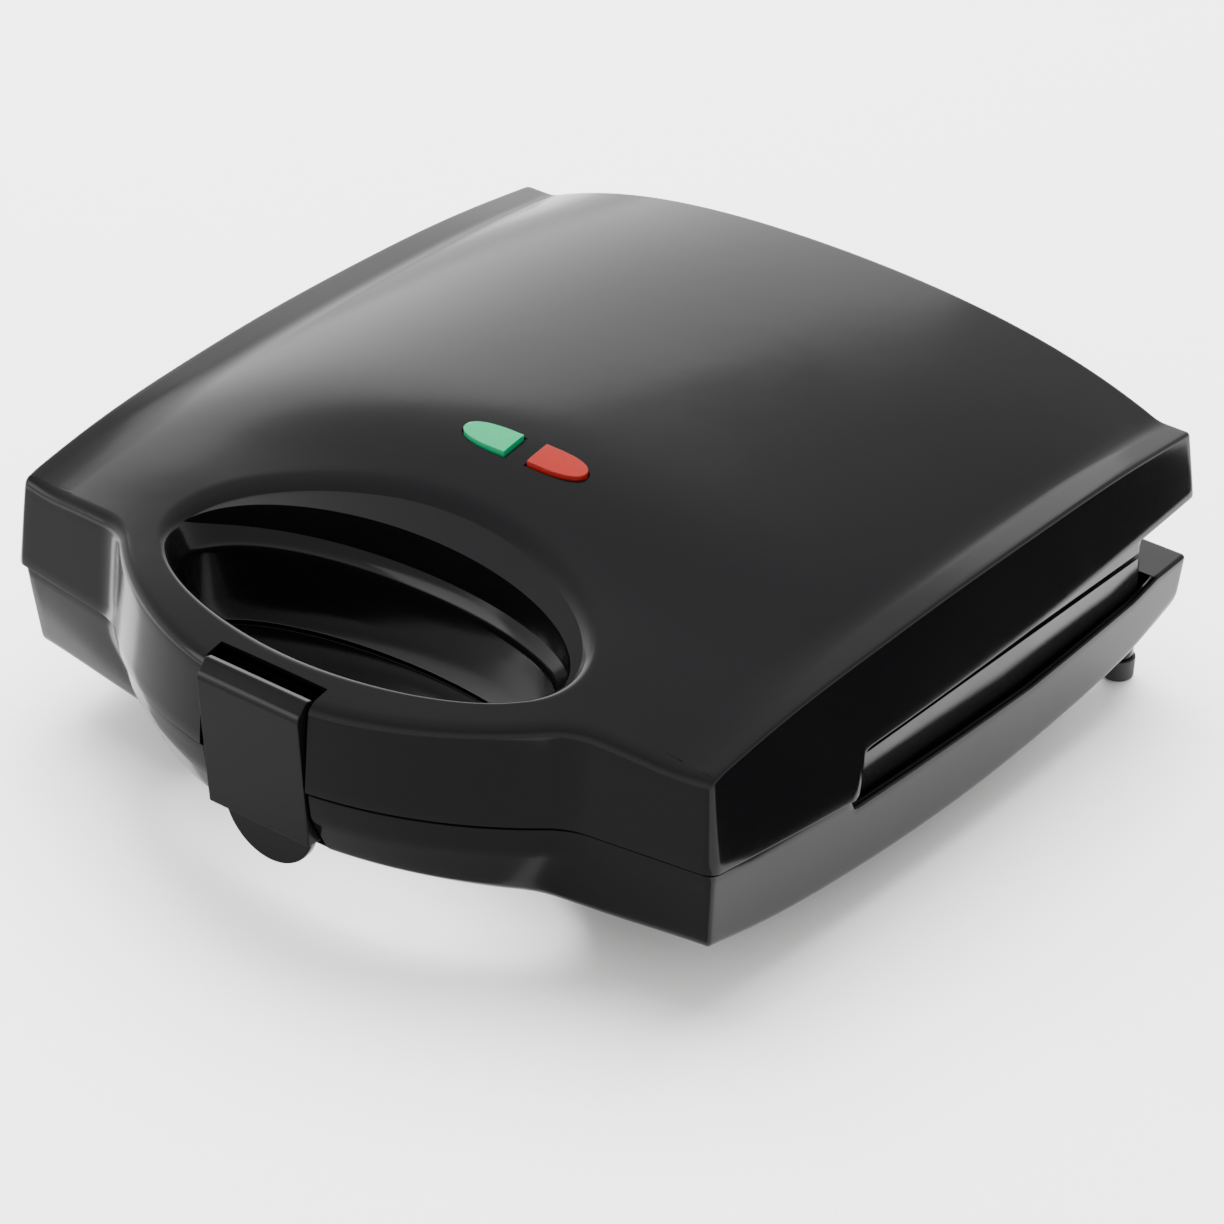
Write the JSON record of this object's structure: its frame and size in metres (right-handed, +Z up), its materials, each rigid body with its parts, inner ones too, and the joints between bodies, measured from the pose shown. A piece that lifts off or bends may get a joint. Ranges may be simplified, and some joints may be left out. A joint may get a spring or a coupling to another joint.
{
  "type": "donut maker",
  "caption": "Clam-shell donut maker with hinged lid, front latch, handle opening, indicator lenses and ring-mould plates.",
  "frame": {"origin": "on the table, below the middle of the object's length and width", "axes": "+Z up, +Y towards the hinge at the back, +X to the right seen from the handle"},
  "size_m": [0.2388, 0.2479, 0.0964],
  "materials": {
    "gloss_black": "polished moulded ABS",
    "frame_black": "fine moulded texture",
    "nonstick": "dark non-stick coating",
    "heater_steel": "annealed tube",
    "shield": "mill finish sheet",
    "fastener_steel": "zinc plated",
    "rubber": "matt",
    "terminal_plastic": "moulded",
    "brass": "bright",
    "lens_green": "tinted clear plastic",
    "lens_red": "tinted clear plastic",
    "lamp_glass": "clear",
    "thermostat_ceramic": "unglazed",
    "fuse_metal": "drawn can"
  },
  "bodies": {
    "base": {"lower_cover": "gloss_black", "lower_handle_liner": "frame_black", "lower_frame": "frame_black", "lower_plate": "nonstick", "lower_heating_element": "heater_steel", "lower_heater_terminals": "heater_steel", "lower_heat_shield": "shield", "lower_plate_screws": "fastener_steel", "lower_frame_screws": "fastener_steel", "hinge_pin_left": "fastener_steel", "hinge_pin_right": "fastener_steel", "rubber_feet": "rubber", "cord_gland": "rubber", "terminal_block": "terminal_plastic", "terminal_screws": "brass"},
    "lid": {"upper_cover": "gloss_black", "upper_handle_liner": "frame_black", "upper_frame": "frame_black", "upper_plate": "nonstick", "upper_heating_element": "heater_steel", "upper_heater_terminals": "heater_steel", "upper_heat_shield": "shield", "upper_plate_screws": "fastener_steel", "upper_frame_screws": "fastener_steel", "indicator_lens_green": "lens_green", "indicator_lens_red": "lens_red", "indicator_lamps": "lamp_glass", "lamp_holder": "terminal_plastic", "thermostat": "thermostat_ceramic", "thermal_fuse": "fuse_metal", "fuse_clip": "fastener_steel", "latch_pin": "fastener_steel"},
    "latch": {"latch_clip": "gloss_black"}
  },
  "joints": [
    {"name": "lid_hinge", "type": "hinge", "parent": "base", "child": "lid", "pos_m": [0, 0.119, 0.0495], "axis": [-1, 0, 0], "range_deg": [0, 100]},
    {"name": "latch_pivot", "type": "hinge", "parent": "lid", "child": "latch", "pos_m": [0, -0.118, 0.068], "axis": [-1, 0, 0], "range_deg": [0, 35]}
  ]
}
